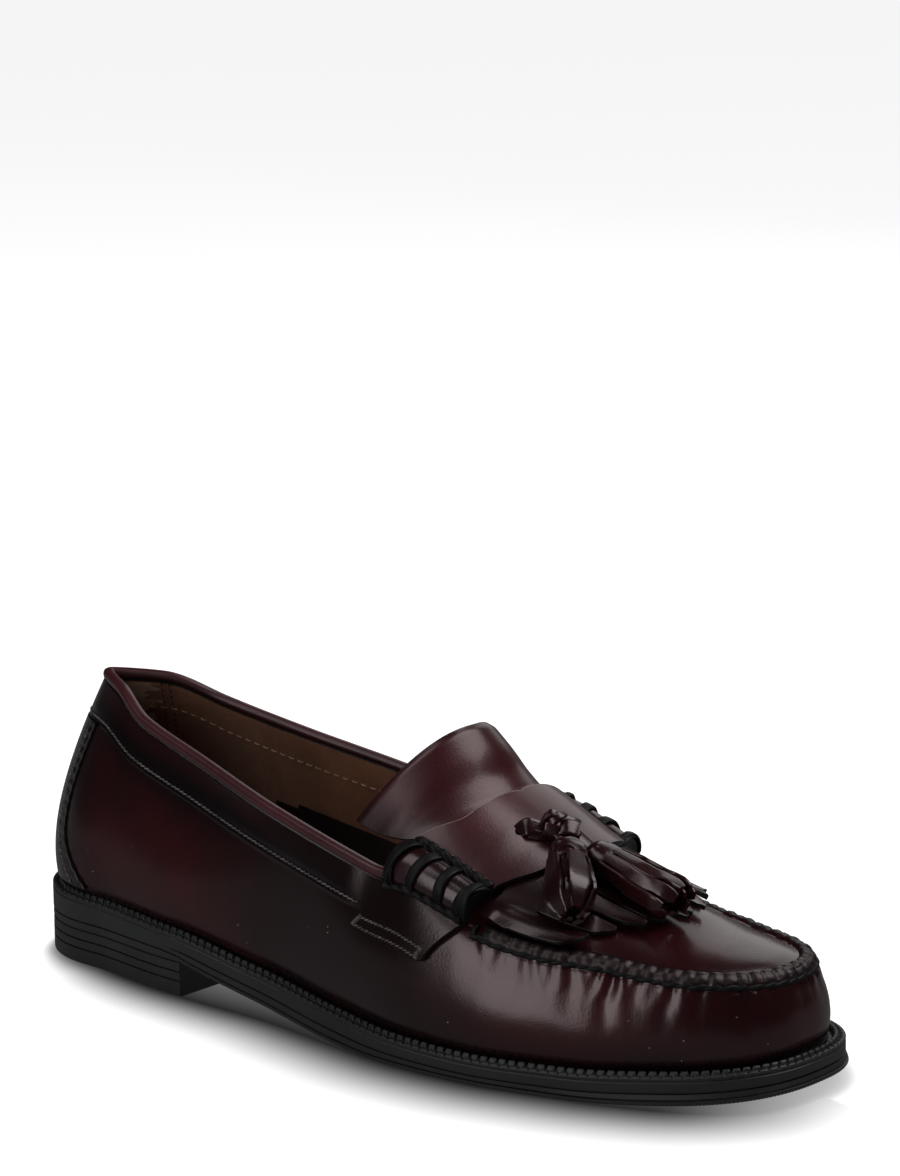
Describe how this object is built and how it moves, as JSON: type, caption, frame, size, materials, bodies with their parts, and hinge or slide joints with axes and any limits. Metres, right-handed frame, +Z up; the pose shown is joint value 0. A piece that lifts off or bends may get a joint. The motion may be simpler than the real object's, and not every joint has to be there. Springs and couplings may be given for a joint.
{
  "type": "kiltie loafer",
  "caption": "Right-foot kiltie loafer: hollow moccasin upper with fringe, saddle strap, rolled sides, tassels, flared tongue, welt and heeled rubber sole.",
  "frame": {"origin": "middle of the heel's bottom face, on the floor", "axes": "+X to the toe along the shoe, +Y to the inner side of the foot, +Z up"},
  "size_m": [0.3049, 0.1019, 0.0973],
  "materials": {
    "sole": "satin black rubber",
    "welt": "beaded black strip, satin",
    "lining": "brown suede lining",
    "upper_leather": "polished burgundy leather, darker at edges",
    "thong": "flat black leather thong, satin",
    "tassel_leather": "burgundy leather strips with black edges"
  },
  "bodies": {
    "root": {"outsole": "sole", "heel": "sole", "welt": "welt", "insole": "lining", "upper": "upper_leather", "collar_binding": "upper_leather", "backstay": "upper_leather", "tongue": "upper_leather", "kiltie": "upper_leather", "strap": "upper_leather", "thong_lateral": "thong", "thong_medial": "thong", "tassel_knot": "tassel_leather", "tassel_lateral": "tassel_leather", "tassel_medial": "tassel_leather"}
  },
  "joints": []
}
